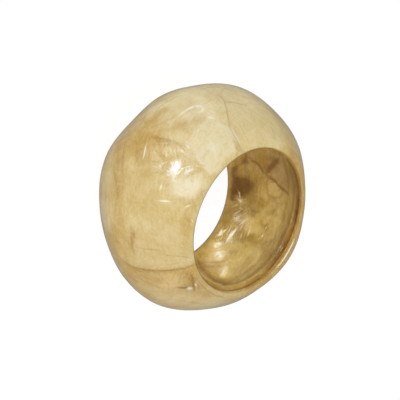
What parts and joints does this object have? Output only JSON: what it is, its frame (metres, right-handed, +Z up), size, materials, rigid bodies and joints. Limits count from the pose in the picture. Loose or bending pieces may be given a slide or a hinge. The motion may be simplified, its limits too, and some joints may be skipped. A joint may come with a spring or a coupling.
{
  "type": "napkin ring",
  "caption": "Barrel-shaped napkin ring with a wide round opening, made of pearly shell laminate under clear resin.",
  "frame": {"origin": "on the foot plane, under the middle of the ring's bounding box", "axes": "+Z up through the opening, out of the mouth; the mouth's higher side faces -Y"},
  "size_m": [0.0602, 0.0598, 0.0363],
  "materials": {
    "shell": "polished clear resin over pale gold mother-of-pearl flakes"
  },
  "bodies": {
    "root": {"ring_body": "shell"}
  },
  "joints": []
}
